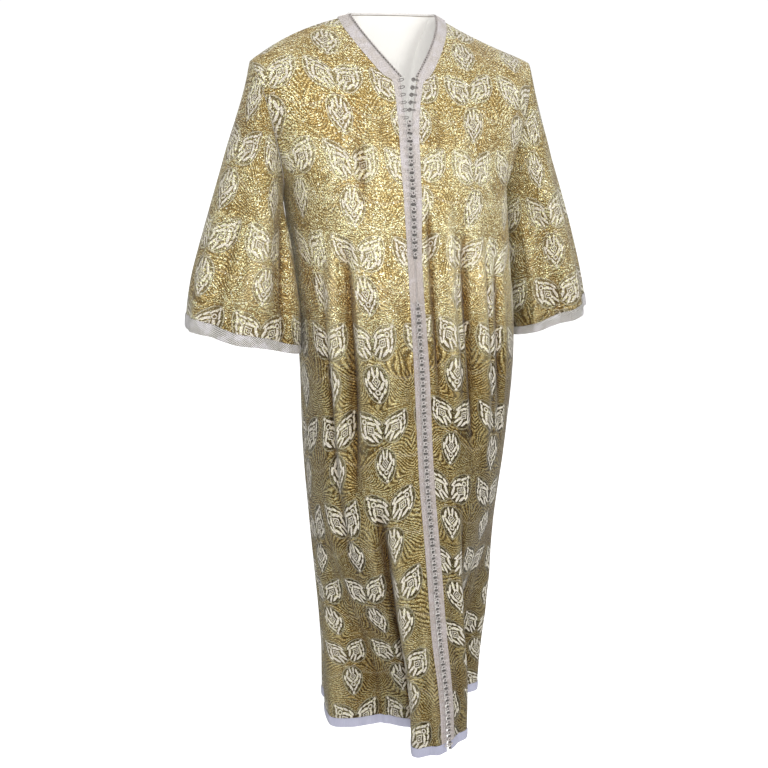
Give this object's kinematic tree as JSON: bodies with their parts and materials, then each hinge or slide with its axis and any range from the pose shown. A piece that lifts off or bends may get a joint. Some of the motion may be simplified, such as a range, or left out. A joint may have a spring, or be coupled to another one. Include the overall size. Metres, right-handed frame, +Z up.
{
  "type": "moroccan kaftan",
  "caption": "Full-length open-front Moroccan kaftan in woven brocade with braid edging, knotted buttons and loops and wide elbow-length sleeves, hollow and in its worn shape.",
  "frame": {"origin": "middle of the neck base, level with and midway between the two side-neck points, where the garment hangs from the wearer's shoulders", "axes": "+Z up, -Y towards the front opening, +X towards the wearer's left"},
  "size_m": [0.7757, 0.3943, 1.3638],
  "materials": {
    "brocade": "metallic woven brocade",
    "braid": "fine woven braid, satin",
    "hem_braid": "shiny woven braid",
    "cord": "knotted cord, satin",
    "button": "knotted cord balls, satin"
  },
  "bodies": {
    "root": {"front_right": "brocade", "front_left": "brocade", "back": "brocade", "sleeve_right": "brocade", "sleeve_left": "brocade", "neck_braid_right": "braid", "neck_braid_left": "braid", "neck_braid_back": "braid", "front_braid_right": "braid", "front_braid_left": "braid", "cuff_braid_right": "braid", "cuff_braid_left": "braid", "hem_braid_front_right": "hem_braid", "hem_braid_front_left": "hem_braid", "hem_braid_back": "hem_braid", "neck_edging": "cord", "loops_upper": "cord", "loops_lower": "cord", "buttons_chest": "button", "buttons_lower": "button", "button_open_1": "button", "button_open_2": "button", "button_open_3": "button", "button_open_4": "button", "button_open_5": "button"}
  },
  "joints": []
}
